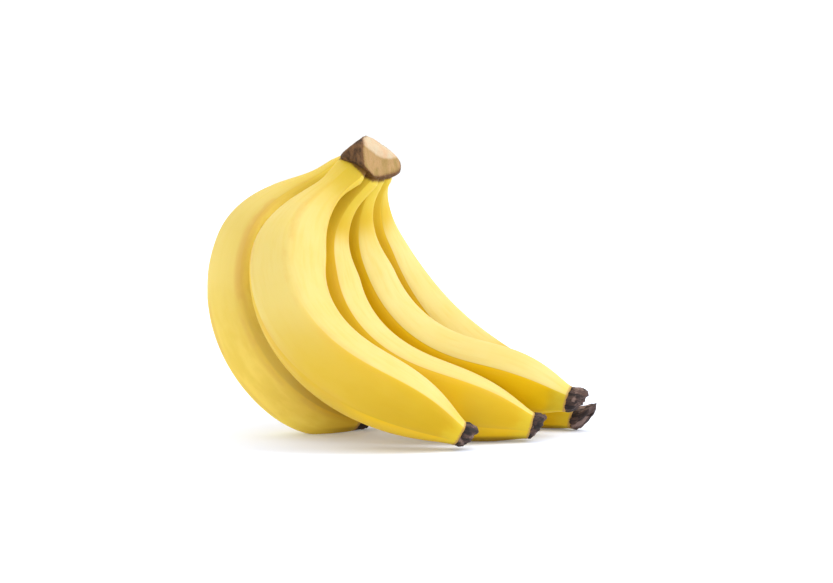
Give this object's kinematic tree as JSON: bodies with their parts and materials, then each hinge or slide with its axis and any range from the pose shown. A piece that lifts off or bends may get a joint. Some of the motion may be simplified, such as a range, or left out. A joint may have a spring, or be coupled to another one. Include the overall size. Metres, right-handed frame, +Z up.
{
  "type": "bunch of bananas",
  "caption": "A bunch of ripe yellow bananas joined at one brown cut crown, resting on its fingers with the crown up and the dark blossom ends low at one side.",
  "frame": {"origin": "middle of the bunch's outline seen from above, on the surface that it rests on", "axes": "+X from the rounded backs of the bananas towards their blossom ends, +Y along the row of necks away from the front banana, +Z up"},
  "size_m": [0.1974, 0.1587, 0.1516],
  "materials": {
    "peel": "smooth ripe banana peel with a soft sheen, a little green at the necks",
    "blossom": "dry, dark brown, rough blossom remains",
    "crown": "dry brown rind with paler tan cut faces, matte"
  },
  "bodies": {
    "root": {"banana_1": "peel", "banana_2": "peel", "banana_3": "peel", "banana_4": "peel", "banana_5": "peel", "blossom_end_1": "blossom", "blossom_end_2": "blossom", "blossom_end_3": "blossom", "blossom_end_4": "blossom", "blossom_end_5": "blossom", "crown": "crown"}
  },
  "joints": []
}
